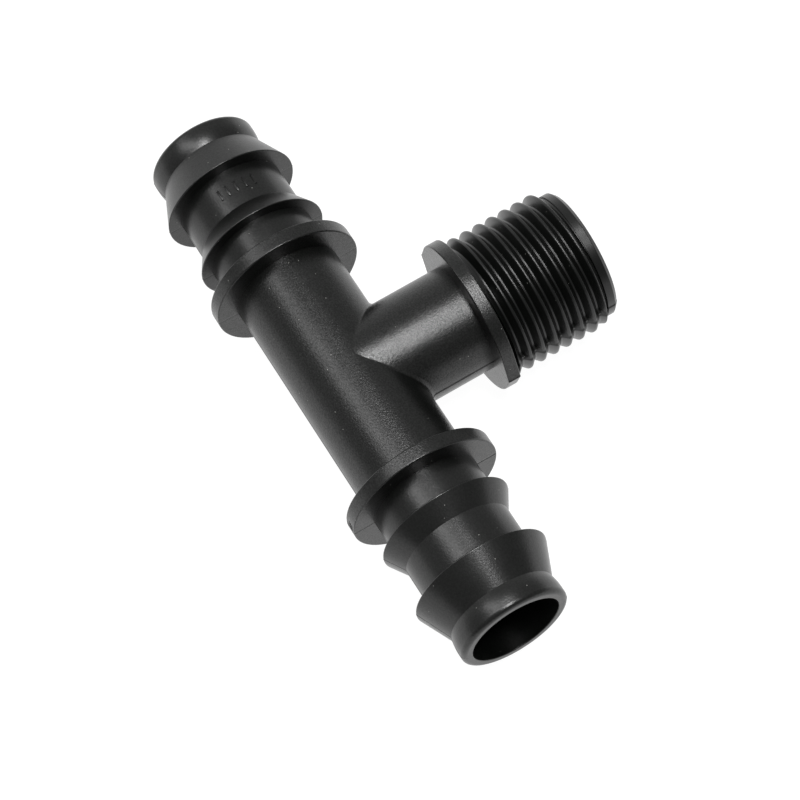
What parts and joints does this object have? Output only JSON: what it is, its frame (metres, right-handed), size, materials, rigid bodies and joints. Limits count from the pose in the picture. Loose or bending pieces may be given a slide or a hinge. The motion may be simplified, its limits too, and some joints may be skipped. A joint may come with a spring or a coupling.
{
  "type": "barbed tee connector",
  "caption": "Moulded plastic irrigation tee: barbed hose tails in line, with a male threaded branch square to them and a stop collar on each arm.",
  "frame": {"origin": "where the axis of the run and the axis of the branch cross", "axes": "+X along the run towards the right tail, +Y along the branch towards the thread, +Z square to both; the mould's parting plane is Z = 0"},
  "size_m": [0.0864, 0.0483, 0.0226],
  "materials": {
    "grained_plastic": "fine spark-eroded grain, satin",
    "satin_plastic": "smooth satin",
    "thread_plastic": "smooth semi-gloss"
  },
  "bodies": {
    "root": {"run_tube": "grained_plastic", "branch_tube": "grained_plastic", "left_collar": "grained_plastic", "left_inner_neck": "satin_plastic", "left_inner_barb": "satin_plastic", "left_outer_neck": "satin_plastic", "left_outer_barb": "satin_plastic", "left_nose": "satin_plastic", "right_collar": "grained_plastic", "right_inner_neck": "satin_plastic", "right_inner_barb": "satin_plastic", "right_outer_neck": "satin_plastic", "right_outer_barb": "satin_plastic", "right_nose": "satin_plastic", "branch_collar": "grained_plastic", "threaded_stem": "thread_plastic", "thread_ridge": "thread_plastic", "lead_in_ring": "thread_plastic"}
  },
  "joints": []
}
